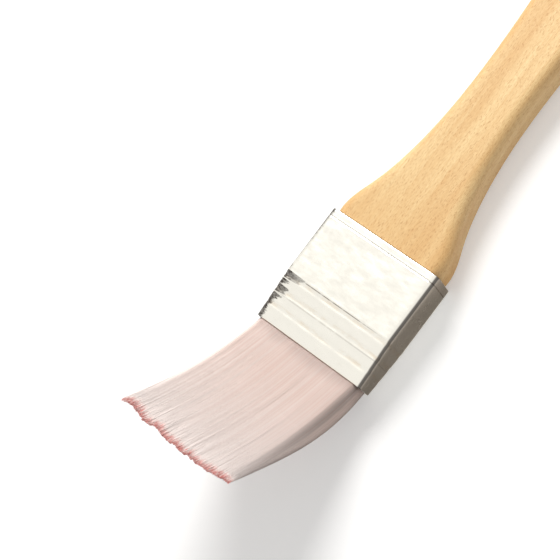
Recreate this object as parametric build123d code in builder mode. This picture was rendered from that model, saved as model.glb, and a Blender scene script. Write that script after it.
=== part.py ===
"""Flat pastry brush: beech handle, tinned ferrule, resin-set nylon tuft that flexes.

Millimetres. The brush lies on its back: +X runs from the handle to the bristle tips, +Y across the
width, +Z up out of the front face. The origin is the middle of the ferrule's flat back, on the plane
that the brush rests on.
"""

import os
from math import atan, cos, degrees, pi, radians, sin

from build123d import *

# ---------------------------------------------------------------- driving dimensions
# Ferrule, folded from one strip of tinned steel
ferrule_width = 26.0
ferrule_thickness = 9.5  # over the handle
mouth_thickness = 6.8  # at the bristles
ferrule_length = 25.0
sheet = 0.35
corner_radius = 1.2
taper_length = 10.2  # mouth end, where the thickness narrows

# Grooves rolled into the ferrule
crimp_from_top = 1.6
crimp_width = 0.6
crimp_depth = 0.12
bead_count = 3
bead_pitch = 3.05
bead_width = 1.25
bead_depth = 0.2
bead_inset = 0.75  # first bead's middle, past the start of the taper

# Lapped seam along one narrow side
seam_width = 3.0
seam_proud = 0.25

# Handle
handle_length = 118.0  # outside the ferrule
tenon_length = 10.5  # inside the ferrule
tenon_side_gap = 0.35
tenon_face_gap = crimp_depth + 0.03  # clear of the crimp
shoulder_swell = 0.3  # how far the shoulder stands out past the tenon, each side
shoulder_slope = 0.15  # outward slope of the sides as they leave the ferrule
neck_width = 12.8
neck_distance = 36.0  # from the ferrule's top edge
grip_width = 16.4
grip_distance = 86.0
end_width = 14.6
edge_radius = 2.2
hole_diameter = 6.0
hole_from_end = 9.5
hole_rounding = 0.5

# Tuft
free_length = 38.4  # filaments outside the ferrule
butt_depth = 11.5  # filaments inside the ferrule
tip_thickness = 1.2
taper_power = 1.6  # how late the tuft thins towards its tips
mouth_gap = 0.3  # tuft to ferrule, front and back
mouth_side_gap = 0.6  # at the narrow sides, where the ferrule's corners are round
section_gap = 0.3  # between two flexing sections
row_end_inset = 1.5  # fixed rows stop this far inside the mouth

# Setting resin and the filler strip between the two rows of filaments
resin_face_depth = 7.5  # resin surface, inside the mouth
resin_gap = 0.05
row_wall_gap = 0.6  # resin between the rows and the ferrule at the butt end
row_mouth_gap = 0.15
filler_butt_thickness = 3.0
filler_tip_thickness = 1.0
filler_tip_depth = 4.2  # inside the mouth
filler_side_inset = 1.5

# Flex of the tuft in its stored pose, as an angle along the centreline
mouth_angle = 10.0
tip_angle = 55.0
flex_power = 3
hinge_places = (0.0, 0.090, 0.193, 0.336, 0.573)  # shares of the free length
bend_ends = (0.044, 0.135, 0.255, 0.430, 1.0)  # where each hinge's share of the bend ends

# ---------------------------------------------------------------- derived places
flat_back_length = ferrule_length - taper_length - crimp_from_top - crimp_width / 2
mouth_x = flat_back_length / 2 + taper_length
top_x = mouth_x - ferrule_length
mid_z = ferrule_thickness / 2
taper_x = mouth_x - taper_length
crimp_x = top_x + crimp_from_top
bead_places = [taper_x + bead_inset + n * bead_pitch for n in range(bead_count)]
butt_x = mouth_x - butt_depth
resin_x = mouth_x - resin_face_depth
tenon_x = top_x + tenon_length
inner_width = ferrule_width - 2 * sheet
tuft_width = inner_width - 2 * mouth_side_gap
root_half = mouth_thickness / 2 - sheet - mouth_gap
tip_half = tip_thickness / 2


# ---------------------------------------------------------------- ferrule shape
def groove_depth(x):
    """How deep the rolled grooves press the sheet in at a station."""
    depth = 0.0
    grooves = [(crimp_x, crimp_width, crimp_depth)]
    grooves += [(place, bead_width, bead_depth) for place in bead_places]
    for middle, width, deepest in grooves:
        if abs(x - middle) < width / 2:
            depth = deepest * (1 + cos(2 * pi * (x - middle) / width)) / 2
    return depth


def ferrule_face(x, inset):
    """Width, thickness and corner radius of the ferrule's section at x, set in from its outside."""
    share = max(0.0, (x - taper_x) / taper_length)
    thickness = ferrule_thickness + (mouth_thickness - ferrule_thickness) * share
    shrink = 2 * (inset + groove_depth(x))
    return ferrule_width - shrink, thickness - shrink, max(corner_radius - inset, 0.3)


def stations(x_from, x_to):
    """Stations along the ferrule between two places, with five to each groove."""
    places = [x_from, x_to, taper_x]
    for middle, width in [(crimp_x, crimp_width)] + [(place, bead_width) for place in bead_places]:
        places += [middle + width * quarter / 4 for quarter in (-2, -1, 0, 1, 2)]
    return sorted({round(place, 6) for place in places if x_from - 1e-9 <= place <= x_to + 1e-9})


def section_plane(x):
    """Plane across the brush at x, with its own X along the width and its Y along the thickness."""
    return Plane(origin=(x, 0, mid_z), x_dir=(0, 1, 0), z_dir=(1, 0, 0))


# ---------------------------------------------------------------- tuft shape
def flex_angle(share):
    """Angle of the tuft's centreline above +X, at a share of the free length."""
    return mouth_angle + (tip_angle - mouth_angle) * (1 - (1 - share) ** flex_power)


def centreline(share, steps=200):
    """Point (x, z) of the centreline at a share of the free length."""
    x, z = mouth_x, mid_z
    for n in range(steps):
        angle = radians(flex_angle(share * (n + 0.5) / steps))
        x += cos(angle) * free_length * share / steps
        z += sin(angle) * free_length * share / steps
    return x, z


def half_thickness(share):
    """Half the tuft's thickness at a share of the free length."""
    return root_half + (tip_half - root_half) * share**taper_power


def tuft_edge(share, side):
    """Point of the tuft's front (side 1) or back (side -1) surface, in the XZ plane."""
    x, z = centreline(share)
    angle, half = radians(flex_angle(share)), half_thickness(share)
    return x - side * half * sin(angle), z + side * half * cos(angle)


# ---------------------------------------------------------------- ferrule
with BuildPart() as ferrule:
    for place in stations(top_x, mouth_x):
        with BuildSketch(section_plane(place)):
            RectangleRounded(*ferrule_face(place, 0))
    loft(ruled=True)
    for place in stations(top_x, mouth_x):
        with BuildSketch(section_plane(place)):
            RectangleRounded(*ferrule_face(place, sheet))
    loft(ruled=True, mode=Mode.SUBTRACT)
    seam_plane = Plane(origin=(top_x, -ferrule_width / 2, mid_z), x_dir=(0, 1, 0), z_dir=(1, 0, 0))
    with BuildSketch(seam_plane):
        Rectangle(2 * seam_proud, seam_width)
    extrude(amount=ferrule_length)

# ---------------------------------------------------------------- handle
tenon_half = inner_width / 2 - tenon_side_gap
handle_thickness = ferrule_thickness - 2 * sheet - 2 * tenon_face_gap
handle_back_z = mid_z - handle_thickness / 2
end_x = top_x - handle_length
hole_x = end_x + hole_from_end

shoulder_half = tenon_half + shoulder_swell
neck_half = neck_width / 2
shoulder_drop = shoulder_half - neck_half
side_points = [
    (tenon_x, tenon_half),
    (top_x, tenon_half),
    (top_x - neck_distance * 0.24, shoulder_half - shoulder_drop * 0.36),
    (top_x - neck_distance * 0.50, shoulder_half - shoulder_drop * 0.75),
    (top_x - neck_distance, neck_half),
    (top_x - grip_distance, grip_width / 2),
    (end_x + end_width / 2, end_width / 2),
]

with BuildPart() as handle:
    with BuildSketch(Plane.XY.offset(handle_back_z)):
        with BuildLine():
            tenon_end = Line((tenon_x, 0), side_points[0])
            tenon_side = Line(side_points[0], side_points[1])
            side = Spline(*side_points[1:], tangents=[(-1, shoulder_slope), (-1, 0)])
            RadiusArc(side @ 1, (end_x, 0), -end_width / 2)
            mirror(about=Plane.XZ)
        make_face()
    extrude(amount=handle_thickness)
    flat_faces = faces().filter_by(Axis.Z)
    fillet(flat_faces.edges(), radius=edge_radius)
    with Locations((hole_x, 0, mid_z)):
        Hole(radius=hole_diameter / 2)
    rims = edges().filter_by(GeomType.CIRCLE).filter_by(lambda e: abs(e.radius - hole_diameter / 2) < 1e-6)
    fillet(rims, radius=hole_rounding)

# ---------------------------------------------------------------- filament rows and filler strip
row_butt_z = ferrule_face(butt_x, sheet)[1] / 2 - row_wall_gap
row_end_x = mouth_x - row_end_inset
row_end_z = ferrule_face(row_end_x, sheet)[1] / 2 - row_mouth_gap
filler_tip_x = mouth_x - filler_tip_depth


def row_height(x):
    """Height of a row's outer face above the mid plane."""
    return row_butt_z + (row_end_z - row_butt_z) * (x - butt_x) / (row_end_x - butt_x)


def filament_row(side):
    """One fixed row of filaments, in front of (1) or behind (-1) the filler strip."""
    with BuildPart() as row:
        with BuildSketch(Plane.XZ):
            with BuildLine():
                Polyline(
                    (butt_x, mid_z + side * filler_butt_thickness / 2),
                    (butt_x, mid_z + side * row_butt_z),
                    (row_end_x, mid_z + side * row_end_z),
                    (row_end_x, mid_z + side * filler_tip_thickness / 2),
                    (filler_tip_x, mid_z + side * filler_tip_thickness / 2),
                    close=True,
                )
            make_face()
            with Locations((mouth_x, mid_z)):
                Circle(root_half + section_gap, mode=Mode.SUBTRACT)
        extrude(amount=tuft_width / 2, both=True)
    return row


front_row = filament_row(1)
back_row = filament_row(-1)

with BuildPart() as filler_strip:
    with BuildSketch(Plane.XZ):
        with BuildLine():
            Polyline(
                (butt_x, mid_z - filler_butt_thickness / 2),
                (butt_x, mid_z + filler_butt_thickness / 2),
                (filler_tip_x, mid_z + filler_tip_thickness / 2),
                (filler_tip_x, mid_z - filler_tip_thickness / 2),
                close=True,
            )
        make_face()
    extrude(amount=tuft_width / 2 - filler_side_inset, both=True)

# ---------------------------------------------------------------- setting resin
resin_back_x = tenon_x + resin_gap
with BuildPart() as resin:
    for place in stations(resin_back_x, resin_x):
        with BuildSketch(section_plane(place)):
            RectangleRounded(*ferrule_face(place, sheet + resin_gap))
    loft(ruled=True)
    with BuildSketch(Plane.XZ):
        with BuildLine():
            Polyline(
                (butt_x, mid_z - row_butt_z),
                (butt_x, mid_z + row_butt_z),
                (resin_x, mid_z + row_height(resin_x)),
                (resin_x, mid_z - row_height(resin_x)),
                close=True,
            )
        make_face()
    extrude(amount=tuft_width / 2, both=True, mode=Mode.SUBTRACT)


# ---------------------------------------------------------------- flexing sections of the tuft
def tuft_section(start, end):
    """The tuft from one hinge to the next, round at its hinge and hollowed for the next one."""
    last = end >= 1.0
    shares = [start + (end - start) * n / 4 for n in range(5)]
    with BuildPart() as section:
        with BuildSketch(Plane.XZ):
            with BuildLine():
                front = Spline(*[tuft_edge(share, 1) for share in shares])
                back = Spline(*[tuft_edge(share, -1) for share in shares])
                Line(front @ 0, back @ 0)
                Line(front @ 1, back @ 1)
            make_face()
            with Locations(centreline(start)):
                Circle(half_thickness(start))
            if not last:
                with Locations(centreline(end)):
                    Circle(half_thickness(end) + section_gap, mode=Mode.SUBTRACT)
        extrude(amount=tuft_width / 2, both=True)
    return section


sections = [
    tuft_section(start, end) for start, end in zip(hinge_places, (*hinge_places[1:], 1.0))
]

# ---------------------------------------------------------------- written parts
pieces = {
    "handle": handle,
    "ferrule": ferrule,
    "setting_resin": resin,
    "filler_strip": filler_strip,
    "bristle_row_front": front_row,
    "bristle_row_back": back_row,
}
pieces |= {f"bristle_section_{n}": section for n, section in enumerate(sections, 1)}

os.makedirs("parts", exist_ok=True)
for name, piece in pieces.items():
    piece.part.label = name
    export_step(piece.part, f"parts/{name}.step")

# Places that a record of this part needs
print("mouth x", round(mouth_x, 3), "mid z", mid_z, "hole x", round(hole_x, 3), "handle", handle_thickness)
bend_starts = (None, *bend_ends)
for n, place in enumerate(hinge_places):
    before = 0.0 if bend_starts[n] is None else flex_angle(bend_starts[n])
    x, z = centreline(place)
    print(f"hinge {n + 1} at x {x:.3f} z {z:.3f}, bend {flex_angle(bend_ends[n]) - before:.3f} degrees")
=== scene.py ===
"""Flat pastry brush: beech handle, tinned ferrule and a tuft of fine nylon filaments."""

from math import cos, floor, pi, radians, sin

import bmesh
import bpy
from mathutils import Matrix, Vector


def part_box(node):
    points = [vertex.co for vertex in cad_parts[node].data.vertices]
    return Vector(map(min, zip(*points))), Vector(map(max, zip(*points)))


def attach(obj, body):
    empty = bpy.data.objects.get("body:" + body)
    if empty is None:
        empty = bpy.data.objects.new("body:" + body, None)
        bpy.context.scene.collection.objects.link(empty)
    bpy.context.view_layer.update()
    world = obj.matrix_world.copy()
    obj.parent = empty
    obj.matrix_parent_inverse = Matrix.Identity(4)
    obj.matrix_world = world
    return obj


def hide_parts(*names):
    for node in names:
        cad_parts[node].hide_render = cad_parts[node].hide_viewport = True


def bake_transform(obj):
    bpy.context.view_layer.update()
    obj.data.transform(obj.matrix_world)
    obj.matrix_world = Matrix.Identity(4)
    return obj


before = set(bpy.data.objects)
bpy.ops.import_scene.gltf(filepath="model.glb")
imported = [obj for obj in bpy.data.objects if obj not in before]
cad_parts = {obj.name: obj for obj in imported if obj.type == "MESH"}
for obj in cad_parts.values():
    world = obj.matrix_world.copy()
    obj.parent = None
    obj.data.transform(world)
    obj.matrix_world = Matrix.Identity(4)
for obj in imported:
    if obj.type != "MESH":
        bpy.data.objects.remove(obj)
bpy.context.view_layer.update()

bl_info = {
    "name": "Pastry brush",
    "version": (1, 0, 0),
    "blender": (4, 5, 0),
    "location": "3D View > Sidebar > Pastry Brush",
    "description": "Builds the filaments, ferrule and finishes of a flat pastry brush round its CAD frame",
    "category": "Object",
}

MM = 0.001

# Places read from the frame, in millimetres
FERRULE_LOW, FERRULE_HIGH = ([c / MM for c in corner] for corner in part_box("ferrule"))
TOP_X, MOUTH_X = FERRULE_LOW[0], FERRULE_HIGH[0]
MID_Z = (FERRULE_LOW[2] + FERRULE_HIGH[2]) / 2
HALF_WIDTH = FERRULE_HIGH[1]
HALF_THICK = (FERRULE_HIGH[2] - FERRULE_LOW[2]) / 2

# Stiff sections that the tuft bends in
SECTIONS = 5
# Shares of the free length where one group of filaments hands over to the next, halfway between hinges
CUTS = (-0.062, 0.045, 0.140, 0.264, 0.450, 0.780, 1.034)
BUTT_SHARE = -0.29
TIP_SHARE = 1.12


# ---------------------------------------------------------------- helpers
def linear(hex_colour, alpha=1.0):
    """An sRGB hex colour as the linear RGBA that Blender uses."""
    text = hex_colour.lstrip("#")
    channels = [int(text[n : n + 2], 16) / 255 for n in (0, 2, 4)]
    turned = [c / 12.92 if c <= 0.04045 else ((c + 0.055) / 1.055) ** 2.4 for c in channels]
    return (*turned, alpha)


def add(tree, kind, settings=None, links=None):
    """Adds a node to the tree with its settings, and sets or links its inputs."""
    node = tree.nodes.new(kind)
    for key, value in (settings or {}).items():
        setattr(node, key, value)
    for key, value in (links or {}).items():
        socket = node.inputs[key]
        if isinstance(value, bpy.types.NodeSocket):
            tree.links.new(value, socket)
        elif isinstance(value, bpy.types.Node):
            tree.links.new(value.outputs[0], socket)
        else:
            socket.default_value = value
    return node


def calc(tree, operation, *values):
    """One Math node's result."""
    node = add(tree, "ShaderNodeMath", {"operation": operation}, dict(enumerate(values)))
    return node.outputs[0]


def vector_calc(tree, operation, links):
    """One Vector Math node's result."""
    return add(tree, "ShaderNodeVectorMath", {"operation": operation}, links).outputs[0]


def product(tree, *values):
    """The values multiplied together, in order."""
    result = values[0]
    for value in values[1:]:
        result = calc(tree, "MULTIPLY", result, value)
    return result


def distance(tree, value, middle):
    """How far value lies from middle, to either side."""
    return calc(tree, "ABSOLUTE", calc(tree, "SUBTRACT", value, middle))


def ramp(tree, value, low, high, start=0.0, end=1.0, smooth=False):
    """Value mapped from low..high to start..end and held there past both."""
    settings = {"interpolation_type": "SMOOTHSTEP" if smooth else "LINEAR", "clamp": True}
    names = {"Value": value, "From Min": low, "From Max": high, "To Min": start, "To Max": end}
    return add(tree, "ShaderNodeMapRange", settings, names).outputs["Result"]


def blended(tree, amount, first, second):
    """Colour between first and second by amount."""
    node = add(tree, "ShaderNodeMix", {"data_type": "RGBA"})
    for socket, value in ((node.inputs[0], amount), (node.inputs[6], first), (node.inputs[7], second)):
        if isinstance(value, bpy.types.NodeSocket):
            tree.links.new(value, socket)
        else:
            socket.default_value = value
    return node.outputs[2]


def new_material(name):
    """A named material with an empty Principled shader; returns (material, tree, shader)."""
    material = bpy.data.materials.new(name)
    material.use_nodes = True
    tree = material.node_tree
    return material, tree, tree.nodes["Principled BSDF"]


def millimetres(tree):
    """Object coordinates in millimetres, as (vector, x, y, z)."""
    place = add(tree, "ShaderNodeTexCoord").outputs["Object"]
    scaled = vector_calc(tree, "SCALE", {0: place, "Scale": 1 / MM})
    parts = add(tree, "ShaderNodeSeparateXYZ", {}, {0: scaled}).outputs
    return scaled, parts[0], parts[1], parts[2]


def noise(tree, vector, stretch, detail=2.0, roughness=0.5):
    """Noise whose features are 1 / stretch millimetres long in each direction."""
    place = vector_calc(tree, "MULTIPLY", {0: vector, 1: stretch})
    links = {"Vector": place, "Scale": 1.0, "Detail": detail, "Roughness": roughness}
    return add(tree, "ShaderNodeTexNoise", {}, links).outputs[0]


def link_object(name, data):
    """An object in the scene that holds data."""
    obj = bpy.data.objects.new(name, data)
    bpy.context.scene.collection.objects.link(obj)
    return obj


# ---------------------------------------------------------------- settings
class HandleSettings(bpy.types.PropertyGroup):
    """Finish of the beech handle"""

    light: bpy.props.FloatVectorProperty(
        name="Light wood", description="Colour between the growth lines", subtype="COLOR", size=4,
        min=0, max=1, default=linear("#FFE0A6"))
    dark: bpy.props.FloatVectorProperty(
        name="Dark wood", description="Colour of the growth lines", subtype="COLOR", size=4,
        min=0, max=1, default=linear("#E3B273"))
    fleck: bpy.props.FloatVectorProperty(
        name="Flecks", description="Colour of the short pores and ray flecks", subtype="COLOR", size=4,
        min=0, max=1, default=linear("#B67A42"))
    roughness: bpy.props.FloatProperty(
        name="Roughness", description="Roughness of the thin lacquer", default=0.48, min=0, max=1)


class FerruleSettings(bpy.types.PropertyGroup):
    """Shape and finish of the tinned ferrule"""

    sheet: bpy.props.FloatProperty(
        name="Sheet", description="Thickness of the tinplate", default=0.35 * MM, unit="LENGTH")
    corner: bpy.props.FloatProperty(
        name="Corner radius", description="Radius of the long folds", default=1.2 * MM, unit="LENGTH")
    mouth: bpy.props.FloatProperty(
        name="Mouth thickness", description="Outside thickness at the filaments", default=6.8 * MM,
        unit="LENGTH")
    taper: bpy.props.FloatProperty(
        name="Taper length", description="Length of the part that narrows", default=10.2 * MM,
        unit="LENGTH")
    bead_pitch: bpy.props.FloatProperty(
        name="Bead pitch", description="From one rolled groove to the next", default=3.05 * MM,
        unit="LENGTH")
    bead_depth: bpy.props.FloatProperty(
        name="Bead depth", description="Depth of a rolled groove on the faces", default=0.09 * MM,
        unit="LENGTH")
    colour: bpy.props.FloatVectorProperty(
        name="Tin", description="Colour of the clean tin", subtype="COLOR", size=4, min=0, max=1,
        default=linear("#F2EEE3"))
    # Colour of the painted dark reflections along the ferrule's folds and grooves
    dark_reflection: bpy.props.FloatVectorProperty(
        name="Tarnish", description="Colour of the thin tin in the grooves", subtype="COLOR", size=4,
        min=0, max=1, default=linear("#21130F"))
    roughness: bpy.props.FloatProperty(
        name="Roughness", description="Roughness of the tin", default=0.22, min=0, max=1)


class TuftSettings(bpy.types.PropertyGroup):
    """Size, bend and colour of the filament tuft"""

    across: bpy.props.IntProperty(
        name="Filaments across", description="Filaments side by side over the width", default=205, min=10)
    deep: bpy.props.IntProperty(
        name="Filaments deep", description="Filaments from the front to the back", default=25, min=2)
    length: bpy.props.FloatProperty(
        name="Free length", description="Filament outside the ferrule", default=38.4 * MM, unit="LENGTH")
    filament: bpy.props.FloatProperty(
        name="Filament radius", description="Radius of a filament at its root", default=0.118 * MM,
        unit="LENGTH")
    root_half: bpy.props.FloatProperty(
        name="Half thickness at the mouth", description="Half the tuft at the ferrule's mouth",
        default=2.9 * MM, unit="LENGTH")
    tip_half: bpy.props.FloatProperty(
        name="Half thickness at the tips", description="Half the chisel edge", default=0.16 * MM,
        unit="LENGTH")
    root_width: bpy.props.FloatProperty(
        name="Half width at the mouth", description="Half the tuft's width at the mouth",
        default=12.35 * MM, unit="LENGTH")
    tip_width: bpy.props.FloatProperty(
        name="Half width at the tips", description="Half the tuft's width at the tips",
        default=12.95 * MM, unit="LENGTH")
    mouth_angle: bpy.props.FloatProperty(
        name="Angle at the mouth", description="Bend of the centreline as it leaves the ferrule",
        default=radians(10), unit="ROTATION")
    tip_angle: bpy.props.FloatProperty(
        name="Angle at the tips", description="Bend of the centreline at the tips",
        default=radians(55), unit="ROTATION")
    seed: bpy.props.IntProperty(name="Seed", description="Choice of random draws", default=7, min=0)
    light: bpy.props.FloatVectorProperty(
        name="Light nylon", description="Colour of the palest filaments", subtype="COLOR", size=4,
        min=0, max=1, default=linear("#F6E2D8"))
    dark: bpy.props.FloatVectorProperty(
        name="Dark nylon", description="Colour of the darkest filaments", subtype="COLOR", size=4,
        min=0, max=1, default=linear("#EED2C6"))
    # Colour of the painted red light on the finest ends
    tip: bpy.props.FloatVectorProperty(
        name="Tips", description="Rosy tint of the finest ends", subtype="COLOR", size=4, min=0, max=1,
        default=linear("#EC8078"))


class StageSettings(bpy.types.PropertyGroup):
    """Light, floor and camera"""

    key_power: bpy.props.FloatProperty(
        name="Key light", description="Power of the large soft lamp", default=4.9, min=0, unit="POWER")
    fill: bpy.props.FloatProperty(
        name="Fill", description="Strength of the light from all round", default=0.42, min=0)
    floor: bpy.props.FloatVectorProperty(
        name="Floor", description="Colour of the floor", subtype="COLOR", size=4, min=0, max=1,
        default=linear("#F2F1EF"))


# ---------------------------------------------------------------- handle
# Lengths along the handle, in millimetres back from the ferrule's top edge: where the wood grows darker,
# and the width of the painted shade at the lip
DARKER_FROM, LIP_SHADE_WIDTH = 16.0, 0.30


def beech_material(settings):
    """Beech, planed and thinly lacquered: pale and warm, with short dark flecks along the grain."""
    material, tree, shader = new_material("Beech, thin lacquer")
    place, x, _y, _z = millimetres(tree)
    # Growth lines about 2 mm apart, drawn out along the handle
    lines = ramp(tree, noise(tree, place, (0.022, 0.30, 0.30), 2.0, 0.5), 0.30, 0.74, 0.0, 0.8)
    colour = blended(tree, lines, tuple(settings.light), tuple(settings.dark))
    # Fine fibres, drawn as coarse as they need to be to show
    fibres = ramp(tree, noise(tree, place, (0.9, 5.0, 5.0), 3.0, 0.65), 0.38, 0.66, 0.0, 0.30)
    colour = blended(tree, fibres, colour, tuple(settings.fleck))
    # Long pale and dark hair lines of the grain
    hairs = ramp(tree, noise(tree, place, (0.07, 2.2, 2.2), 2.0, 0.6), 0.40, 0.70, 0.0, 0.42)
    colour = blended(tree, hairs, colour, tuple(settings.dark))
    # Darker over the last stretch before the ferrule
    near = ramp(tree, x, TOP_X - DARKER_FROM, TOP_X - 1.0, 0.0, 0.35, True)
    colour = blended(tree, near, colour, tuple(settings.dark))
    # Pores and ray flecks, 1 to 2 mm long and about 0.2 mm wide
    flecks = ramp(tree, noise(tree, place, (1.8, 6.5, 6.5), 2.0, 0.5), 0.56, 0.70, 0.0, 0.55)
    colour = blended(tree, flecks, colour, tuple(settings.fleck))
    # Painted shade: a dark line on the wood where it meets the ferrule's lip
    lip_shade = product(tree, ramp(tree, x, TOP_X - LIP_SHADE_WIDTH, TOP_X - 0.04, 0.0, 0.8),
                  ramp(tree, x, TOP_X, TOP_X + 0.1, 1.0, 0.0))
    colour = blended(tree, lip_shade, colour, linear("#5A3517"))
    height = calc(tree, "ADD", flecks, fibres)
    bump = add(tree, "ShaderNodeBump", {"invert": True},
               {"Strength": 0.35, "Distance": 0.03 * MM, "Height": height})
    rough = ramp(tree, fibres, 0.0, 0.34, settings.roughness - 0.05, settings.roughness + 0.12)
    tree.links.new(colour, shader.inputs["Base Color"])
    tree.links.new(rough, shader.inputs["Roughness"])
    tree.links.new(bump.outputs[0], shader.inputs["Normal"])
    shader.inputs["Specular IOR Level"].default_value = 0.35
    return material


def raw_wood_material():
    """Sawn poplar of the filler strip: dull, pale and fibrous."""
    material, tree, shader = new_material("Poplar, sawn")
    place, _x, _y, _z = millimetres(tree)
    fibres = ramp(tree, noise(tree, place, (1.2, 0.12, 2.0), 3.0, 0.6), 0.3, 0.7)
    colour = blended(tree, fibres, linear("#D8BA8A"), linear("#B8935F"))
    tree.links.new(colour, shader.inputs["Base Color"])
    shader.inputs["Roughness"].default_value = 0.8
    return material


def resin_material():
    """Set epoxy: amber, glassy and slightly cloudy."""
    material, tree, shader = new_material("Epoxy, set")
    place, _x, _y, _z = millimetres(tree)
    cloud = ramp(tree, noise(tree, place, (0.5, 0.5, 0.5), 3.0, 0.6), 0.3, 0.7)
    colour = blended(tree, cloud, linear("#8A5A2C"), linear("#6B421E"))
    tree.links.new(colour, shader.inputs["Base Color"])
    shader.inputs["Roughness"].default_value = 0.2
    return material


def dress(node_name, material):
    """Gives a CAD node that stays in view its finish."""
    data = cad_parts[node_name].data
    if not data.materials:
        data.materials.append(material)
    for index in range(len(data.materials)):
        data.materials[index] = material


class PASTRYBRUSH_OT_handle(bpy.types.Operator):
    """Finishes the beech handle and the hidden filler strip and resin"""

    bl_idname = "pastry_brush.handle"
    bl_label = "Handle and Core"

    def execute(self, context):
        dress("handle", beech_material(context.scene.brush_handle))
        dress("filler_strip", raw_wood_material())
        dress("setting_resin", resin_material())
        return {"FINISHED"}


# ---------------------------------------------------------------- ferrule
# Sizes in millimetres
CRIMP_FROM_TOP, CRIMP_WIDTH, CRIMP_DEPTH = 1.6, 0.5, 0.054
BEAD_COUNT, BEAD_WIDTH, BEAD_INSET = 3, 1.5, 0.75
SEAM_HALF, SEAM_PROUD = 1.5, 0.25
LIP = 0.12
# The rolls bite less on the narrow sides than on the faces
SIDE_PRESS = 0.25
# A groove pushes up a slight ridge beside it: its height is a share of the groove's depth, and where it
# begins and ends are shares of the groove's width
RIDGE, RIDGE_FROM, RIDGE_TO = 0.12, 0.3, 0.9
# Points round the section on each face, each fold and the plain narrow side
FACE_STEPS, FOLD_STEPS, SIDE_STEPS = 26, 7, 8
# Plain stations along the ferrule, and those over half of a groove
PLAIN_STATIONS, GROOVE_STATIONS = 50, 12
# Hair lines of painted dark reflection: before the first bead, and after the second
FIRST_HAIR, SECOND_HAIR = 0.55, 0.75
# Painted dark reflection along the left fold: how far it reaches in, by place along the ferrule, as shares
# of the next line's length
DARK_REFLECTION_LENGTH = 5.0
DARK_REFLECTION_REACH = (
    (0.0, 0.24), (0.03, 0.24), (0.04, 0.17), (0.20, 0.13), (0.52, 0.085), (0.55, 0.13), (0.575, 0.10),
    (0.582, 0.0), (0.590, 0.98), (0.646, 0.84), (0.652, 0.0), (0.657, 0.0), (0.660, 0.42), (0.700, 0.34),
    (0.704, 0.04), (0.712, 0.62), (0.768, 0.52), (0.774, 0.0), (0.780, 0.0), (0.786, 0.48), (0.84, 0.32),
    (0.90, 0.27), (1.0, 0.30))


def bead_places(settings):
    """Middles of the rolled grooves along the ferrule, in millimetres."""
    start = MOUTH_X - settings.taper / MM + BEAD_INSET
    return [start + n * settings.bead_pitch / MM for n in range(BEAD_COUNT)]


def ferrule_depth(x, settings):
    """How deep the rolled grooves press the sheet in at a station, with a slight ridge at each side."""
    depth = 0.0
    grooves = [(TOP_X + CRIMP_FROM_TOP, CRIMP_WIDTH, CRIMP_DEPTH)]
    grooves += [(place, BEAD_WIDTH, settings.bead_depth / MM) for place in bead_places(settings)]
    for middle, width, deepest in grooves:
        off = (x - middle) / width
        if abs(off) < 0.5:
            depth += deepest * (1 + cos(2 * pi * off)) / 2
        if RIDGE_FROM < abs(off) < RIDGE_TO:
            ridge_off = (abs(off) - (RIDGE_FROM + RIDGE_TO) / 2) / (RIDGE_TO - RIDGE_FROM)
            depth -= RIDGE * deepest * (1 + cos(2 * pi * ridge_off)) / 2
    return depth


def hand_dents(x, y):
    """The sheet's slight unevenness, in millimetres."""
    long_wave = 0.016 * sin(0.55 * x + 0.31 * y + 1.0)
    cross_wave = 0.012 * sin(0.9 * y - 0.42 * x)
    return long_wave + cross_wave + 0.007 * sin(2.1 * x + 1.3 * y)


def ferrule_ring(x, inset, settings):
    """The ferrule's section at x, set in from its outside, as points round it."""
    share = max(0.0, (x - (MOUTH_X - settings.taper / MM)) / (settings.taper / MM))
    mouth_half = settings.mouth / MM / 2
    pressed = ferrule_depth(x, settings)
    half_w = HALF_WIDTH - inset - pressed * SIDE_PRESS
    half_t = HALF_THICK + (mouth_half - HALF_THICK) * share - inset - pressed
    radius = max(settings.corner / MM - inset, 0.3)
    flat_w, flat_t = half_w - radius, half_t - radius
    ring = []
    for n in range(FACE_STEPS):
        ring.append((-flat_w + 2 * flat_w * n / FACE_STEPS, half_t))
    for n in range(FOLD_STEPS):
        a = pi / 2 * n / FOLD_STEPS
        ring.append((flat_w + radius * sin(a), flat_t + radius * cos(a)))
    for n in range(SIDE_STEPS):
        ring.append((half_w, flat_t - 2 * flat_t * n / SIDE_STEPS))
    for n in range(FOLD_STEPS):
        a = pi / 2 * n / FOLD_STEPS
        ring.append((flat_w + radius * cos(a), -flat_t - radius * sin(a)))
    for n in range(FACE_STEPS):
        ring.append((flat_w - 2 * flat_w * n / FACE_STEPS, -half_t))
    for n in range(FOLD_STEPS):
        a = pi / 2 * n / FOLD_STEPS
        ring.append((-flat_w - radius * sin(a), -flat_t - radius * cos(a)))
    proud = SEAM_PROUD if inset < settings.sheet / MM / 2 else 0.0
    lap = SEAM_HALF
    for z, out in ((-flat_t, 0), (-lap - 0.06, 0), (-lap, 0.75), (-lap + 0.08, 1), (-lap / 2, 1), (0, 1),
                   (lap / 2, 1), (lap - 0.08, 1), (lap, 0.75), (lap + 0.06, 0)):
        ring.append((-half_w - out * proud, z))
    for n in range(FOLD_STEPS):
        a = pi / 2 * n / FOLD_STEPS
        ring.append((-flat_w - radius * cos(a), flat_t + radius * sin(a)))
    points = []
    for y, z in ring:
        face = max(0.0, min(1.0, (half_w - abs(y)) / 3)) * (1 if z > 0 else -1)
        lift = hand_dents(x, y) * face if abs(z) > half_t - 0.05 else 0.0
        points.append(Vector((x, y, MID_Z + z + lift)) * MM)
    return points


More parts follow.
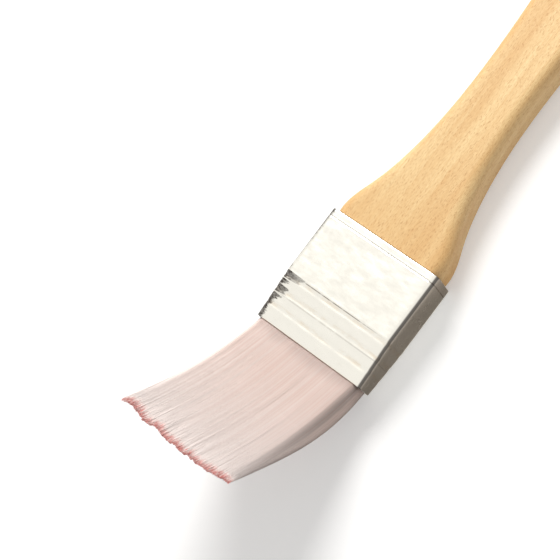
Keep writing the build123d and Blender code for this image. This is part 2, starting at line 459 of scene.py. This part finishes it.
def ferrule_stations(settings):
    """Stations along the ferrule, close together in its grooves and at its lips."""
    length = MOUTH_X - TOP_X
    places = {TOP_X + length * n / PLAIN_STATIONS for n in range(PLAIN_STATIONS + 1)}
    spans = [(TOP_X + CRIMP_FROM_TOP, CRIMP_WIDTH)] + [(p, BEAD_WIDTH) for p in bead_places(settings)]
    for middle, width in spans:
        places = {p for p in places if abs(p - middle) > width * 0.95}
        reach = width * RIDGE_TO / GROOVE_STATIONS
        places |= {middle + reach * n for n in range(-GROOVE_STATIONS, GROOVE_STATIONS + 1)}
    places |= {TOP_X + LIP * 0.3, TOP_X + LIP, MOUTH_X - LIP, MOUTH_X - LIP * 0.3}
    return sorted(p for p in places if TOP_X <= p <= MOUTH_X)


def rounded_inset(x, sheet):
    """How far the outside draws in at the two lips, so that they catch the light."""
    reach = min(x - TOP_X, MOUTH_X - x)
    if reach >= LIP:
        return 0.0
    return sheet * 0.4 * (1 - (1 - (1 - reach / LIP) ** 2) ** 0.5)


def ferrule_mesh(settings):
    """The folded sheet as one closed shell, outside and inside."""
    sheet = settings.sheet / MM
    stations = ferrule_stations(settings)
    rings = [ferrule_ring(x, rounded_inset(x, sheet), settings) for x in stations]
    rings += [ferrule_ring(x, sheet - rounded_inset(x, sheet) * 0.5, settings) for x in reversed(stations)]
    shape = bmesh.new()
    rows = [[shape.verts.new(point) for point in ring] for ring in rings]
    for row, following in zip(rows, rows[1:] + rows[:1]):
        for n in range(len(row)):
            m = (n + 1) % len(row)
            shape.faces.new((row[n], row[m], following[m], following[n]))
    bmesh.ops.recalc_face_normals(shape, faces=shape.faces)
    for face in shape.faces:
        face.smooth = True
    mesh = bpy.data.meshes.new("ferrule_sheet")
    shape.to_mesh(mesh)
    shape.free()
    mesh.set_sharp_from_angle(angle=radians(50))
    return mesh


def tin_material(settings):
    """Bright tinplate, cold rolled and tinned: near white and a soft mirror, a faint straw tint in its
    beads, with painted dark reflections along its folds and grooves.
    """
    material, tree, shader = new_material("Tinplate, bright")
    place, x, y, z = millimetres(tree)
    pitch = settings.bead_pitch / MM
    first = bead_places(settings)[0]
    speckle = noise(tree, place, (0.9, 0.35, 0.9), 3.0, 0.6)
    # Distance from the nearest bead
    turn = calc(tree, "FLOORED_MODULO", calc(tree, "SUBTRACT", x, first - pitch / 2), pitch)
    beads = ramp(tree, distance(tree, turn, pitch / 2), 0.15, 0.70, 1.0, 0.0, True)
    last = first + (BEAD_COUNT - 1) * pitch
    beads = product(tree, beads, ramp(tree, x, first - 1.2, first - 1.0),
                    ramp(tree, x, last + 1.0, last + 1.2, 1.0, 0.0))
    front = ramp(tree, z, MID_Z, MID_Z + 1.0)
    # Painted dark reflection along the left fold, reaching in where the grooves run out over it
    along = calc(tree, "DIVIDE", calc(tree, "SUBTRACT", x, TOP_X), MOUTH_X - TOP_X)
    reach = add(tree, "ShaderNodeValToRGB", {}, {0: along})
    stops = reach.color_ramp.elements
    stops[0].position, stops[1].position = 0.0, 1.0
    for n, (position, amount) in enumerate(DARK_REFLECTION_REACH):
        stop = stops[0] if n == 0 else stops[-1] if n == len(DARK_REFLECTION_REACH) - 1 else stops.new(position)
        stop.color = (amount, amount, amount, 1)
    inward = calc(tree, "ADD", y, HALF_WIDTH)
    frayed = noise(tree, place, (2.6, 0.7, 2.6), 3.0, 0.65)
    ragged = product(tree, calc(tree, "SUBTRACT", frayed, 0.5), 3.2)
    inward = calc(tree, "ADD", inward, product(tree, ragged, ramp(tree, inward, 0.3, 1.5)))
    past = calc(tree, "SUBTRACT", inward, product(tree, reach.outputs[0], DARK_REFLECTION_LENGTH))
    thin = product(tree, ramp(tree, inward, 0.8, 4.4, 0.98, 0.50),
                   ramp(tree, noise(tree, place, (3.4, 1.6, 3.4), 2.0, 0.6), 0.35, 0.60, 0.70, 1.0))
    dark = product(tree, ramp(tree, past, -0.45, 0.20, 1.0, 0.0, True), thin, front)
    # A thin painted dark reflection down the right fold
    right = product(tree, ramp(tree, y, HALF_WIDTH - 0.75, HALF_WIDTH - 0.45, 0.0, 0.85, True),
                    ramp(tree, y, HALF_WIDTH - 0.16, HALF_WIDTH - 0.05, 1.0, 0.0), front)
    dark = calc(tree, "MAXIMUM", dark, right)
    # Painted dark reflections as hair lines at the crimp and beside the first two beads
    crimp = ramp(tree, distance(tree, x, TOP_X + CRIMP_FROM_TOP), 0.03, 0.15, 0.75, 0.0)
    hair = product(tree, ramp(tree, distance(tree, x, first - FIRST_HAIR), 0.03, 0.13, 0.80, 0.0),
                   ramp(tree, y, 4.0, 11.0, 1.0, 0.1), ramp(tree, inward, 4.6, 5.4))
    second = distance(tree, x, first + pitch + SECOND_HAIR)
    hair = calc(tree, "MAXIMUM", hair, ramp(tree, second, 0.05, 0.22, 0.22, 0.0))
    broken = ramp(tree, noise(tree, place, (0.3, 0.5, 0.3), 3.0, 0.6), 0.30, 0.52)
    hairs = product(tree, calc(tree, "MAXIMUM", crimp, hair), broken)
    # A faint straw tint in the beads, and smudges on the flat
    straw = product(tree, beads, ramp(tree, speckle, 0.42, 0.66, 0.0, 0.34))
    smudge = ramp(tree, noise(tree, place, (0.35, 0.35, 0.35), 4.0, 0.7), 0.58, 0.76, 0.0, 0.16)
    colour = blended(tree, straw, tuple(settings.colour), linear("#D9BE98"))
    colour = blended(tree, smudge, colour, linear("#C9C2B6"))
    colour = blended(tree, hairs, colour, linear("#5A4B3C"))
    # Painted dark reflections along the folds
    colour = blended(tree, dark, colour, tuple(settings.dark_reflection))
    uneven = ramp(tree, speckle, 0.3, 0.7, settings.roughness - 0.05, settings.roughness + 0.06)
    rough = calc(tree, "ADD", uneven, product(tree, dark, 0.15))
    # Rolling marks across the sheet, about 0.3 mm apart
    rolling = noise(tree, place, (3.2, 0.06, 0.5), 2.0, 0.5)
    bump = add(tree, "ShaderNodeBump", {}, {"Strength": 0.12, "Distance": 0.01 * MM, "Height": rolling})
    tree.links.new(colour, shader.inputs["Base Color"])
    tree.links.new(rough, shader.inputs["Roughness"])
    tree.links.new(bump.outputs[0], shader.inputs["Normal"])
    shader.inputs["Metallic"].default_value = 1.0
    return material


class PASTRYBRUSH_OT_ferrule(bpy.types.Operator):
    """Makes the ferrule's folded sheet with its beads, crimp, lips and lapped seam"""

    bl_idname = "pastry_brush.ferrule"
    bl_label = "Ferrule"

    def execute(self, context):
        settings = context.scene.brush_ferrule
        mesh = ferrule_mesh(settings)
        mesh.materials.append(tin_material(settings))
        ferrule = link_object("ferrule_sheet", mesh)
        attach(ferrule, "brush")
        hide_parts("ferrule")
        return {"FINISHED"}


# ---------------------------------------------------------------- tuft
# Places along the tuft are shares of its free length: 0 at the ferrule's mouth, 1 at the mean tip
# How far a filament's shading normal leans to the tuft's surface, along the tuft and at its chisel edge
NORMAL_LEAN, EDGE_LEAN = 0.80, 0.25
EDGE_FROM, EDGE_TO = 0.94, 0.985
# Where the painted red light at the tips begins and where it is full
RED_LIGHT_FROM, RED_LIGHT_TO = 0.962, 0.998
# How far the painted shade at the roots reaches
ROOT_SHADE_TO = 0.13
# Outline of the tips: the middle stands out, skewed to the right, and the edge wavers
END_BULGE, END_SKEW, END_WAVER, END_WAVES, END_ROUND = 0.032, 0.5, 0.030, 4.2, 0.006
# Least and greatest change of length, by filament and by lock
FILAMENT_ENDS, LOCK_ENDS = (-0.026, 0.005), (-0.010, 0.005)
# Locks over half the width, how far their edges wander, and how far they slant from back to front
LOCKS, LOCK_WANDER, LOCK_SLANT = 17.0, 2.4, 0.35
# How much of its way to the lock's middle a filament goes at the tips, and how late it sets off
GATHER, GATHER_POWER = 0.30, 14.0
# A filament's greatest shift within its column and its row, as a share of their spacing
COLUMN_SHIFT, ROW_SHIFT = 0.25, 0.08
# Sideways drift of single filaments along the tuft, and their spread at the tips, in millimetres
DRIFT, SPREAD = 0.06, 0.06
# Filaments swell out past the mouth, the front ones more
SWELL, FRONT_SWELL = 8.0 * MM, 0.40
# Inside the ferrule: the rows' half thickness at the butts and by the mouth, with the filler strip
# between them
INSIDE_TO, BUTT_HALF, LAST_HALF = -0.005, 3.75 * MM, 2.9 * MM
STRIP_TO, STRIP_BUTT_HALF, STRIP_TIP_HALF, CLOSED_AT = -0.109, 1.55 * MM, 0.55 * MM, 0.03
# The tuft's corners are drawn in towards the centreline by this share
CORNER_FROM, CORNER_SQUEEZE = 0.90, 0.42
# The centreline bends off level just inside the mouth, and most of its bend comes early
LEVEL_TO, BEND_POWER = -0.08, 3
# Where the first joint's bend sets in, and straight steps along one group's filaments
BUTT_STEPS, FREE_STEPS = 2, 5


def spine_angle(share, settings):
    """Angle of the tuft's centreline above +X at a share of the free length; level inside the ferrule."""
    if share < 0:
        return settings.mouth_angle * max(0.0, 1 - share / LEVEL_TO)
    bend = settings.tip_angle - settings.mouth_angle
    return settings.mouth_angle + bend * (1 - (1 - share) ** BEND_POWER)


def spine_points(settings, steps=282):
    """Points of the tuft's centreline, in metres, evenly from the butt to the tips."""
    pace = (TIP_SHARE - BUTT_SHARE) / steps
    shares = [BUTT_SHARE + pace * n for n in range(steps + 1)]
    points, place = [], Vector((0, 0, 0))
    for share in shares:
        points.append(place.copy())
        angle = spine_angle(share + pace / 2, settings)
        place = place + Vector((cos(angle), 0, sin(angle))) * settings.length * pace
    at = -BUTT_SHARE / pace
    low = floor(at)
    mouth = points[low].lerp(points[low + 1], at - low)
    shift = Vector((MOUTH_X, 0, MID_Z)) * MM - mouth
    return [point + shift for point in points]


def nylon_material(settings):
    """Drawn nylon filament, crimp set: off white and faintly pink, with a silky half gloss."""
    material, tree, shader = new_material("Nylon filament, drawn")
    tone = add(tree, "ShaderNodeAttribute", {"attribute_name": "tone"}).outputs["Fac"]
    share = add(tree, "ShaderNodeAttribute", {"attribute_name": "share"}).outputs["Fac"]
    colour = blended(tree, tone, tuple(settings.dark), tuple(settings.light))
    # Painted light: paler towards the tips, making up for the shade between the thinner filaments there
    colour = blended(tree, ramp(tree, share, 0.25, 0.95, 0.0, 0.75), colour, linear("#FFF4EF"))
    # Painted shade: greyer where the filaments are packed at the ferrule's mouth
    colour = blended(tree, ramp(tree, share, 0.0, ROOT_SHADE_TO, 0.40, 0.0, True), colour, linear("#A89088"))
    # Painted red light: the finest ends turn rosy over the last 1.5 mm
    tint = product(tree, ramp(tree, share, RED_LIGHT_FROM, RED_LIGHT_TO, 0.0, 1.0, True),
                   ramp(tree, tone, 0.0, 1.0, 1.0, 0.2))
    colour = blended(tree, tint, colour, tuple(settings.tip))
    tree.links.new(colour, shader.inputs["Base Color"])
    shader.inputs["Roughness"].default_value = 0.42
    shader.inputs["Specular IOR Level"].default_value = 0.4
    # Packed filaments light up as one surface: lean each one's normal towards the tuft's
    stored = add(tree, "ShaderNodeAttribute", {"attribute_name": "facing"}).outputs["Vector"]
    stored = add(tree, "ShaderNodeSeparateXYZ", {}, {0: stored}).outputs
    # Worked out from the filament's own run, so that the lean follows the tuft when it bends
    run = add(tree, "ShaderNodeTangent", {"direction_type": "UV_MAP", "uv_map": "run"}).outputs[0]
    across = add(tree, "ShaderNodeVectorTransform",
                 {"vector_type": "VECTOR", "convert_from": "OBJECT", "convert_to": "WORLD"},
                 {0: (0.0, 1.0, 0.0)}).outputs[0]
    outwards = vector_calc(tree, "CROSS_PRODUCT", {0: run, 1: across})
    outwards = vector_calc(tree, "SCALE", {0: outwards, "Scale": stored[0]})
    across = vector_calc(tree, "SCALE", {0: across, "Scale": stored[1]})
    surface = vector_calc(tree, "ADD", {0: outwards, 1: across})
    own = add(tree, "ShaderNodeNewGeometry").outputs["Normal"]
    leaned = add(tree, "ShaderNodeMix", {"data_type": "VECTOR"})
    # At the chisel edge, seen from both faces, each filament keeps more of its own
    lean = ramp(tree, share, EDGE_FROM, EDGE_TO, NORMAL_LEAN, EDGE_LEAN)
    tree.links.new(lean, leaned.inputs[0])
    tree.links.new(own, leaned.inputs[4])
    tree.links.new(surface, leaned.inputs[5])
    tree.links.new(vector_calc(tree, "NORMALIZE", {0: leaned.outputs[1]}), shader.inputs["Normal"])
    return material


def group_input(tree, name, kind):
    """A named input of a Geometry Nodes tree; returns its identifier."""
    return tree.interface.new_socket(name, in_out="INPUT", socket_type=kind).identifier


def filament_tree():
    """Geometry Nodes tree that turns the tuft's centreline into its filaments between two shares."""
    tree = bpy.data.node_groups.new("Filament tuft", "GeometryNodeTree")
    tree.is_modifier = True
    real, whole = "NodeSocketFloat", "NodeSocketInt"
    ids = {"Spine": group_input(tree, "Spine", "NodeSocketGeometry")}
    for name, kind in (("Across", whole), ("Deep", whole), ("Steps", whole), ("Seed", whole),
                       ("From", real), ("To", real), ("Root Half", real), ("Tip Half", real),
                       ("Root Width", real), ("Tip Width", real), ("Filament", real),
                       ("Material", "NodeSocketMaterial")):
        ids[name] = group_input(tree, name, kind)
    tree.interface.new_socket("Filaments", in_out="OUTPUT", socket_type="NodeSocketGeometry")
    given = add(tree, "NodeGroupInput").outputs

    def chance(offset, low, high, by):
        """A fixed random number for each value of by."""
        seed = calc(tree, "ADD", given["Seed"], offset)
        node = add(tree, "FunctionNodeRandomValue", {"data_type": "FLOAT"})
        node.inputs[2].default_value, node.inputs[3].default_value = low, high
        tree.links.new(by, node.inputs["ID"])
        tree.links.new(seed, node.inputs["Seed"])
        return node.outputs[1]

    def times(*values):
        return product(tree, *values)

    def plus(*values):
        result = values[0]
        for value in values[1:]:
            result = calc(tree, "ADD", result, value)
        return result

    def less(first, second):
        return calc(tree, "SUBTRACT", first, second)

    def stored(geometry, name, value, kind="FLOAT", domain="POINT"):
        """The geometry with value kept on it under a name."""
        return add(tree, "GeometryNodeStoreNamedAttribute", {"data_type": kind, "domain": domain},
                   {"Geometry": geometry, "Name": name, "Value": value})

    # One straight curve for each filament
    count = calc(tree, "MULTIPLY", given["Across"], given["Deep"])
    dots = add(tree, "GeometryNodePoints", {}, {"Count": count})
    line = add(tree, "GeometryNodeCurvePrimitiveLine", {}, {"End": (1.0, 0.0, 0.0)})
    knots = calc(tree, "ADD", given["Steps"], 1.0)
    line = add(tree, "GeometryNodeResampleCurve", {}, {"Curve": line, "Count": knots})
    copies = add(tree, "GeometryNodeInstanceOnPoints", {}, {"Points": dots, "Instance": line})
    strands = add(tree, "GeometryNodeRealizeInstances", {}, {"Geometry": copies})

    # Its number, and its column and row in the tuft
    index = add(tree, "GeometryNodeInputIndex").outputs[0]
    number = add(tree, "GeometryNodeFieldOnDomain", {"domain": "CURVE", "data_type": "INT"},
                 {0: index}).outputs[0]
    column = calc(tree, "FLOORED_MODULO", number, given["Across"])
    row = calc(tree, "FLOOR", calc(tree, "DIVIDE", number, given["Across"]))
    # Places from -1 to 1: u over the width, left to right, and v through the tuft, back to front
    column_place = plus(column, 0.5, chance(1, -COLUMN_SHIFT, COLUMN_SHIFT, number))
    u = less(times(calc(tree, "DIVIDE", column_place, given["Across"]), 2.0), 1.0)
    row_place = plus(row, 0.5, chance(2, -ROW_SHIFT, ROW_SHIFT, number))
    v = less(times(calc(tree, "DIVIDE", row_place, given["Deep"]), 2.0), 1.0)
    wander = add(tree, "ShaderNodeTexNoise", {"noise_dimensions": "1D"},
                 {"W": times(u, 9.0), "Scale": 1.0, "Detail": 1.0}).outputs[0]
    lock_place = plus(times(u, LOCKS), times(wander, LOCK_WANDER), times(v, LOCK_SLANT))
    # Raised by 60 so that no lock has a number below zero
    lock_id = add(tree, "FunctionNodeFloatToInt", {"rounding_mode": "FLOOR"},
                  {0: plus(lock_place, 60.0)}).outputs[0]

    # How far along its own length each point lies; tips end unevenly, by filament and by lock
    uneven = add(tree, "ShaderNodeTexNoise", {"noise_dimensions": "1D"},
                 {"W": times(plus(u, 4.0), END_WAVES), "Scale": 1.0, "Detail": 2.0}).outputs[0]
    bulge = times(less(1.0, times(u, u)), plus(1.0, times(u, END_SKEW)), END_BULGE)
    end = plus(1.0, bulge, chance(3, *FILAMENT_ENDS, number), chance(4, *LOCK_ENDS, lock_id),
               times(less(uneven, 0.5), -END_WAVER), times(v, v, -END_ROUND))
    along = add(tree, "GeometryNodeSplineParameter").outputs["Factor"]
    last = calc(tree, "MINIMUM", given["To"], end)
    share = plus(given["From"], times(along, less(last, given["From"])))
    outside = calc(tree, "MAXIMUM", share, 0.0)

    # Section of the tuft there
    fall = calc(tree, "POWER", calc(tree, "MINIMUM", outside, 1.0), 1.5)
    half = plus(given["Root Half"], times(fall, less(given["Tip Half"], given["Root Half"])))
    rest = less(1.0, outside)
    swell = times(outside, calc(tree, "POWER", calc(tree, "MAXIMUM", rest, 0.0), 3.0), SWELL,
                  plus(1.0, times(v, FRONT_SWELL)))
    half = plus(half, swell)
    inside_half = ramp(tree, share, BUTT_SHARE, INSIDE_TO, BUTT_HALF, LAST_HALF)
    inner = calc(tree, "LESS_THAN", share, INSIDE_TO)
    half = plus(times(half, less(1.0, inner)), times(inside_half, inner))
    core = times(ramp(tree, share, BUTT_SHARE, STRIP_TO, STRIP_BUTT_HALF, STRIP_TIP_HALF),
                 ramp(tree, share, STRIP_TO, CLOSED_AT, 1.0, 0.0))
    width = plus(given["Root Width"], times(outside, less(given["Tip Width"], given["Root Width"])))
    corner = ramp(tree, calc(tree, "ABSOLUTE", u), CORNER_FROM, 1.0, 0.0, 1.0)
    squeeze = less(1.0, times(corner, corner, CORNER_SQUEEZE))

    # Sideways drift and, near the tips, gathering into locks
    drift = times(chance(5, -DRIFT, DRIFT, number), MM, calc(tree, "POWER", outside, 1.6))
    spread = times(chance(6, -SPREAD, SPREAD, number), MM, calc(tree, "POWER", outside, 6.0))
    middle = less(calc(tree, "FRACT", lock_place), 0.5)
    gather = times(middle, -1.0 / LOCKS, calc(tree, "POWER", outside, GATHER_POWER), GATHER)
    across_place = plus(times(plus(u, gather), width), drift)
    reach = calc(tree, "ABSOLUTE", v)
    sign = calc(tree, "SIGN", v)
    depth_place = plus(times(sign, plus(core, times(reach, squeeze, less(half, core)))), spread)

    # Onto the centreline
    factor = ramp(tree, share, BUTT_SHARE, TIP_SHARE)
    spine = add(tree, "GeometryNodeSampleCurve", {"mode": "FACTOR", "data_type": "FLOAT"},
                {"Curves": given["Spine"], "Factor": factor})
    tangent = add(tree, "ShaderNodeSeparateXYZ", {}, {0: spine.outputs["Tangent"]}).outputs
    offset = add(tree, "ShaderNodeCombineXYZ", {}, {
        0: times(tangent[2], -1.0, depth_place), 1: across_place, 2: times(tangent[0], depth_place)})
    place = vector_calc(tree, "ADD", {0: spine.outputs["Position"], 1: offset})
    shaped = add(tree, "GeometryNodeSetPosition", {}, {"Geometry": strands, "Position": place})

    # Tone of each filament, and its place along the tuft, for the finish
    tone = chance(7, 0.0, 1.0, number)
    own_share = plus(share, less(1.0, end))
    marked = stored(stored(shaped, "tone", tone), "share", own_share)
    # Which way the tuft's surface faces there: to the front or back, and to a side
    out = times(sign, calc(tree, "POWER", reach, 2.0))
    aside = times(calc(tree, "SIGN", u), calc(tree, "POWER", calc(tree, "ABSOLUTE", u), 12.0))
    # At the chisel edge all but the rows nearest the back face the front
    at_edge = ramp(tree, own_share, EDGE_FROM, EDGE_TO)
    edge_out = plus(0.6, times(out, 0.4), times(calc(tree, "MINIMUM", out, 0.0), 0.8))
    out = plus(times(out, less(1.0, at_edge)), times(edge_out, at_edge))
    facing_way = add(tree, "ShaderNodeCombineXYZ", {}, {0: out, 1: aside})
    marked = stored(marked, "facing", facing_way, "FLOAT_VECTOR")

    # A three-sided tube that thins towards its tip
    ring = add(tree, "GeometryNodeCurvePrimitiveCircle", {}, {"Resolution": 3, "Radius": 1.0})
    round_share = add(tree, "GeometryNodeSplineParameter").outputs["Factor"]
    ring = stored(ring, "round_share", round_share)
    thin = times(given["Filament"], ramp(tree, own_share, 0.30, 0.96, 1.0, 0.72),
                 ramp(tree, own_share, 0.955, 1.0, 1.0, 0.30))
    tube = add(tree, "GeometryNodeCurveToMesh", {}, {
        "Curve": marked, "Profile Curve": ring, "Scale": thin, "Fill Caps": True})
    # A map whose first direction runs along each filament
    kept = [add(tree, "GeometryNodeInputNamedAttribute", {"data_type": "FLOAT"}, {"Name": name}).outputs[0]
            for name in ("share", "round_share")]
    run_map = add(tree, "ShaderNodeCombineXYZ", {}, {0: kept[0], 1: kept[1]})
    tube = stored(tube, "run", run_map, "FLOAT2", "CORNER")
    whole_mesh = add(tree, "GeometryNodeRealizeInstances", {}, {"Geometry": tube})
    painted = add(tree, "GeometryNodeSetMaterial", {},
                  {"Geometry": whole_mesh, "Material": given["Material"]})
    add(tree, "NodeGroupOutput", {}, {0: painted})
    return tree, ids


def spine_curve(points):
    """The tuft's centreline as a curve object for the filament tree to follow."""
    data = bpy.data.curves.new("tuft_centreline", "CURVE")
    data.dimensions = "3D"
    spline = data.splines.new("POLY")
    spline.points.add(len(points) - 1)
    for knot, point in zip(spline.points, points):
        knot.co = (*point, 1.0)
    return link_object("tuft_centreline", data)


def filaments(name, spine, tree, ids, settings, material, start, end, steps):
    """One group of filaments between two shares of the free length, as a plain mesh."""
    modifier = spine.modifiers.new("Filaments", "NODES")
    modifier.node_group = tree
    values = {"Across": settings.across, "Deep": settings.deep, "Steps": steps, "Seed": settings.seed,
              "From": start, "To": end, "Root Half": settings.root_half, "Tip Half": settings.tip_half,
              "Root Width": settings.root_width, "Tip Width": settings.tip_width,
              "Filament": settings.filament, "Material": material}
    for key, value in values.items():
        modifier[ids[key]] = value
    graph = bpy.context.evaluated_depsgraph_get()
    mesh = bpy.data.meshes.new_from_object(spine.evaluated_get(graph), depsgraph=graph)
    mesh.name = name
    spine.modifiers.remove(modifier)
    if not mesh.materials:
        mesh.materials.append(material)
    return link_object(name, mesh)


class PASTRYBRUSH_OT_tuft(bpy.types.Operator):
    """Grows the nylon filaments, fixed in the ferrule and free outside it"""

    bl_idname = "pastry_brush.tuft"
    bl_label = "Filament Tuft"

    def execute(self, context):
        settings = context.scene.brush_tuft
        material = nylon_material(settings)
        points = spine_points(settings)
        spine = spine_curve(points)
        tree, ids = filament_tree()
        butts = filaments("filament_butts", spine, tree, ids, settings, material, BUTT_SHARE, CUTS[0],
                          BUTT_STEPS)
        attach(butts, "brush")
        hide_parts("bristle_row_front", "bristle_row_back")
        for n, (start, end) in enumerate(zip(CUTS, CUTS[1:])):
            piece = filaments(f"filaments_{n + 1}", spine, tree, ids, settings, material, start, end,
                              FREE_STEPS)
            if n < SECTIONS:
                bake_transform(piece)
                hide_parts(f"bristle_section_{n + 1}")
            else:
                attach(piece, "tuft_5")
        bpy.data.objects.remove(spine)
        return {"FINISHED"}


# ---------------------------------------------------------------- stage
CAMERA_PLACE = Vector((26.930, 118.204, 280.718)) * MM
CAMERA_RIGHT = Vector((-0.60167, 0.73440, -0.31408))
CAMERA_UP = Vector((-0.79651, -0.52230, 0.30457))
CAMERA_BACK = Vector((0.05963, 0.43343, 0.89921))
LENS = 102.19
KEY_PLACE, KEY_SIZE = (-0.40, -0.36, 0.50), 0.38
FLOOR_SIZE, FLOOR_DROP, FLOOR_GLOW = 6.0, 0.1 * MM, 0.30
# A grey card that only reflections see, beside the ferrule
CARD_LENGTH, CARD_WIDTH, CARD_RISE = 0.25, 0.06, 0.2 * MM
CARD_MIDDLE_Y = 0.0132 + CARD_WIDTH / 2


def facing(place, target):
    """Matrix of a lamp at place that faces the target."""
    turn = (Vector(target) - Vector(place)).to_track_quat("-Z", "Y")
    return Matrix.Translation(place) @ turn.to_matrix().to_4x4()


def seen_directly(tree):
    """1 for what the camera sees, also in a mirror or through glass, and 0 for what lights a surface."""
    rays = add(tree, "ShaderNodeLightPath").outputs
    mirrored = calc(tree, "MAXIMUM", rays["Is Glossy Ray"], rays["Is Transmission Ray"])
    return calc(tree, "MAXIMUM", rays["Is Camera Ray"], mirrored)


def floor_material(colour):
    """Matt white paper: shows white to the camera and in reflections, and keeps the shadow."""
    material, tree, shader = new_material("Paper, matt")
    tree.nodes.remove(shader)
    seen = seen_directly(tree)
    matt = add(tree, "ShaderNodeBsdfDiffuse", {}, {"Color": tuple(colour)})
    glow = add(tree, "ShaderNodeEmission", {},
               {"Color": (1, 1, 1, 1), "Strength": product(tree, seen, FLOOR_GLOW)})
    both = add(tree, "ShaderNodeAddShader", {}, {0: matt, 1: glow})
    output = next(node for node in tree.nodes if node.type == "OUTPUT_MATERIAL")
    tree.links.new(both.outputs[0], output.inputs["Surface"])
    return material


def flat_card(name, size, matrix, material):
    """A flat rectangle that belongs to the stage."""
    mesh = bpy.data.meshes.new(name)
    half_w, half_h = size[0] / 2, size[1] / 2
    corners = [(-half_w, -half_h, 0), (half_w, -half_h, 0), (half_w, half_h, 0), (-half_w, half_h, 0)]
    mesh.from_pydata([matrix @ Vector(c) for c in corners], [], [(0, 1, 2, 3)])
    mesh.materials.append(material)
    card = link_object(name, mesh)
    return card


class PASTRYBRUSH_OT_stage(bpy.types.Operator):
    """Sets the floor, the soft light and the camera"""

    bl_idname = "pastry_brush.stage"
    bl_label = "Stage"

    def execute(self, context):
        settings = context.scene.brush_stage
        scene = context.scene
        scene.view_settings.view_transform = "Standard"
        flat_card("floor", (FLOOR_SIZE, FLOOR_SIZE), Matrix.Translation((0, 0, -FLOOR_DROP)),
                  floor_material(settings.floor))

        world = bpy.data.worlds.new("Soft room")
        world.use_nodes = True
        tree = world.node_tree
        tree.nodes.clear()
        strength = ramp(tree, seen_directly(tree), 0.0, 1.0, settings.fill, 1.0)
        light = add(tree, "ShaderNodeBackground", {}, {"Color": (1, 1, 1, 1), "Strength": strength})
        add(tree, "ShaderNodeOutputWorld", {}, {"Surface": light})
        scene.world = world

        lamp = bpy.data.lights.new("key", "AREA")
        lamp.shape, lamp.size, lamp.energy = "DISK", KEY_SIZE, settings.key_power
        key = link_object("key", lamp)
        key.matrix_world = facing(KEY_PLACE, (0, 0, 0))

        # Keeps the ferrule's narrow side from vanishing against the floor
        grey, _tree, shader = new_material("Grey card")
        shader.inputs["Base Color"].default_value = linear("#A8A09A")
        shader.inputs["Roughness"].default_value = 1.0
        card = flat_card("grey_card", (CARD_LENGTH, CARD_WIDTH),
                         Matrix.Translation((0.0, CARD_MIDDLE_Y, CARD_RISE)), grey)
        card.visible_camera = card.visible_diffuse = card.visible_shadow = False

        camera_data = bpy.data.cameras.new("camera")
        camera_data.lens, camera_data.sensor_width = LENS, 36.0
        camera_data.clip_start, camera_data.clip_end = 0.01, 20.0
        camera = link_object("camera", camera_data)
        turn = Matrix((CAMERA_RIGHT, CAMERA_UP, CAMERA_BACK)).transposed().to_4x4()
        camera.matrix_world = Matrix.Translation(CAMERA_PLACE) @ turn
        scene.camera = camera
        return {"FINISHED"}


# ---------------------------------------------------------------- panel and registration
STEPS = ("handle", "ferrule", "tuft", "stage")


class PASTRYBRUSH_PT_panel(bpy.types.Panel):
    """Lists the brush's pieces and their settings"""

    bl_idname = "PASTRYBRUSH_PT_panel"
    bl_label = "Pastry Brush"
    bl_space_type = "VIEW_3D"
    bl_region_type = "UI"
    bl_category = "Pastry Brush"

    def draw(self, context):
        for step in STEPS:
            box = self.layout.box()
            settings = getattr(context.scene, f"brush_{step}")
            for key in settings.__annotations__:
                box.prop(settings, key)
            box.operator(f"pastry_brush.{step}")


GROUPS = {"handle": HandleSettings, "ferrule": FerruleSettings,
          "tuft": TuftSettings, "stage": StageSettings}
CLASSES = (*GROUPS.values(), PASTRYBRUSH_OT_handle, PASTRYBRUSH_OT_ferrule, PASTRYBRUSH_OT_tuft,
           PASTRYBRUSH_OT_stage, PASTRYBRUSH_PT_panel)


def register():
    """Registers the classes and hangs the settings on the scene."""
    for cls in CLASSES:
        bpy.utils.register_class(cls)
    for name, group in GROUPS.items():
        setattr(bpy.types.Scene, f"brush_{name}", bpy.props.PointerProperty(type=group))


def unregister():
    """Takes the settings and the classes away again."""
    for name in GROUPS:
        delattr(bpy.types.Scene, f"brush_{name}")
    for cls in reversed(CLASSES):
        bpy.utils.unregister_class(cls)


def main():
    """Builds the whole brush."""
    register()
    for step in STEPS:
        getattr(bpy.ops.pastry_brush, step)()


if __name__ == "__main__":
    main()
